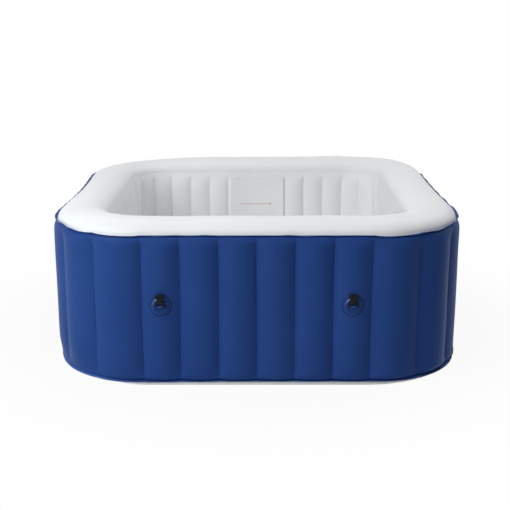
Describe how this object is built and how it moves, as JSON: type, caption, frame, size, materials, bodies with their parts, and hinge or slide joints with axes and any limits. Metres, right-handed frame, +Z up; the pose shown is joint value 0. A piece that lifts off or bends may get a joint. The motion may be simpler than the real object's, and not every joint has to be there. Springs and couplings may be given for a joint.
{
  "type": "inflatable hot tub",
  "caption": "Square inflatable hot tub with a blue ribbed wall, white rim and pool, tie webs inside, wall fittings with screw caps, a drain and hinged cover buckles.",
  "frame": {"origin": "middle of the base, on the ground", "axes": "+Z up, front with the two buckles faces -Y, +X to the right seen from the front"},
  "size_m": [1.5809, 1.6189, 0.617],
  "materials": {
    "blue_pvc": "satin reinforced PVC sheet",
    "white_pvc": "satin PVC sheet",
    "grey_pvc": "matt PVC sheet",
    "web_pvc": "matt mesh-backed PVC",
    "black_plastic": "moulded, satin",
    "grey_plastic": "moulded, satin",
    "white_plastic": "moulded, gloss",
    "black_rubber": "matt",
    "spring_steel": "drawn wire"
  },
  "bodies": {
    "tub": {"outer_wall_front": "blue_pvc", "outer_wall_right": "blue_pvc", "outer_wall_back": "blue_pvc", "outer_wall_left": "blue_pvc", "connection_panel": "blue_pvc", "left_patch": "blue_pvc", "right_patch": "blue_pvc", "left_strap_anchor": "blue_pvc", "right_strap_anchor": "blue_pvc", "inner_wall_front": "white_pvc", "inner_wall_right": "white_pvc", "inner_wall_back": "white_pvc", "inner_wall_left": "white_pvc", "top_rim": "white_pvc", "fitting_panel": "white_pvc", "air_jet_ring": "white_pvc", "bottom_sheet": "grey_pvc", "air_feed_tube": "grey_pvc", "pleated_web_front": "web_pvc", "tie_web_front_a": "web_pvc", "tie_web_front_b": "web_pvc", "corner_web_front_1": "web_pvc", "corner_web_front_2": "web_pvc", "pleated_web_right": "web_pvc", "tie_web_right_a": "web_pvc", "tie_web_right_b": "web_pvc", "corner_web_right_1": "web_pvc", "corner_web_right_2": "web_pvc", "pleated_web_back_a": "web_pvc", "pleated_web_back_b": "web_pvc", "tie_web_back_a": "web_pvc", "tie_web_back_b": "web_pvc", "corner_web_back_1": "web_pvc", "corner_web_back_2": "web_pvc", "pleated_web_left": "web_pvc", "tie_web_left_a": "web_pvc", "tie_web_left_b": "web_pvc", "corner_web_left_1": "web_pvc", "corner_web_left_2": "web_pvc", "drain_valve_body": "black_plastic", "suction_fitting": "grey_plastic", "return_fitting": "grey_plastic", "air_inlet_fitting": "grey_plastic", "inflation_valve_body": "grey_plastic", "inflation_valve_spring": "spring_steel"},
    "left_buckle": {"left_buckle": "black_plastic"},
    "right_buckle": {"right_buckle": "black_plastic"},
    "suction_seal": {"suction_seal": "black_rubber"},
    "suction_cap": {"suction_cap": "grey_plastic"},
    "return_seal": {"return_seal": "black_rubber"},
    "return_cap": {"return_cap": "grey_plastic"},
    "suction_strainer": {"suction_strainer": "white_plastic"},
    "return_strainer": {"return_strainer": "white_plastic"},
    "air_inlet_cap": {"air_inlet_cap": "grey_plastic"},
    "inflation_valve_stem": {"inflation_valve_stem": "white_plastic"},
    "inflation_valve_seal": {"inflation_valve_seal": "black_rubber"},
    "inflation_valve_cap": {"inflation_valve_cap": "grey_plastic"},
    "drain_seal": {"drain_seal": "black_rubber"},
    "drain_cap": {"drain_cap": "black_plastic"},
    "drain_plug": {"drain_plug": "white_plastic"}
  },
  "joints": [
    {"name": "left_buckle_hinge", "type": "hinge", "parent": "tub", "child": "left_buckle", "pos_m": [-0.34583, -0.8009, 0.31], "axis": [1, 0, 0], "range_deg": [0, 150]},
    {"name": "right_buckle_hinge", "type": "hinge", "parent": "tub", "child": "right_buckle", "pos_m": [0.34583, -0.8009, 0.31], "axis": [1, 0, 0], "range_deg": [0, 150]},
    {"name": "suction_seal_lift", "type": "slide", "parent": "tub", "child": "suction_seal", "axis": [0, 1, 0], "range_m": [0, 0.0152]},
    {"name": "suction_cap_turn", "type": "hinge", "parent": "suction_seal", "child": "suction_cap", "pos_m": [-0.065, 0.7816, 0.175], "axis": [0, 1, 0], "range_deg": [0, 1080]},
    {"name": "return_seal_lift", "type": "slide", "parent": "tub", "child": "return_seal", "axis": [0, 1, 0], "range_m": [0, 0.0152]},
    {"name": "return_cap_turn", "type": "hinge", "parent": "return_seal", "child": "return_cap", "pos_m": [0.065, 0.7816, 0.175], "axis": [0, 1, 0], "range_deg": [0, 1080]},
    {"name": "inflation_valve_seal_lift", "type": "slide", "parent": "tub", "child": "inflation_valve_seal", "axis": [0, 1, 0], "range_m": [0, 0.0102]},
    {"name": "inflation_valve_cap_turn", "type": "hinge", "parent": "inflation_valve_seal", "child": "inflation_valve_cap", "pos_m": [0, 0.7816, 0.37], "axis": [0, 1, 0], "range_deg": [0, 720]},
    {"name": "drain_seal_lift", "type": "slide", "parent": "tub", "child": "drain_seal", "axis": [0.9659, -0.2588, 0], "range_m": [0, 0.0102]},
    {"name": "drain_cap_turn", "type": "hinge", "parent": "drain_seal", "child": "drain_cap", "pos_m": [0.77915, -0.51258, 0.036], "axis": [0.9659, -0.2588, 0], "range_deg": [0, 720]},
    {"name": "suction_strainer_twist", "type": "hinge", "parent": "tub", "child": "suction_strainer", "pos_m": [-0.065, 0.5704, 0.175], "axis": [0, -1, 0], "range_deg": [0, 30]},
    {"name": "return_strainer_twist", "type": "hinge", "parent": "tub", "child": "return_strainer", "pos_m": [0.065, 0.5704, 0.175], "axis": [0, -1, 0], "range_deg": [0, 30]},
    {"name": "air_inlet_cap_pull", "type": "slide", "parent": "tub", "child": "air_inlet_cap", "axis": [0, 1, 0], "range_m": [0, 0.03]},
    {"name": "inflation_valve_press", "type": "slide", "parent": "tub", "child": "inflation_valve_stem", "axis": [0, -1, 0], "range_m": [0, 0.005], "stiffness_N_per_m": 400, "springref_m": -0.004, "deforming": ["inflation_valve_spring"]},
    {"name": "drain_plug_pull", "type": "slide", "parent": "tub", "child": "drain_plug", "axis": [-0.9659, 0.2588, 0], "range_m": [0, 0.014]}
  ],
  "couplings": [
    {"joint": "suction_seal_lift", "follows": "suction_cap_turn", "m_per_rad": 0.00079577},
    {"joint": "return_seal_lift", "follows": "return_cap_turn", "m_per_rad": 0.00079577},
    {"joint": "inflation_valve_seal_lift", "follows": "inflation_valve_cap_turn", "m_per_rad": 0.00079577},
    {"joint": "drain_seal_lift", "follows": "drain_cap_turn", "m_per_rad": 0.00079577}
  ]
}
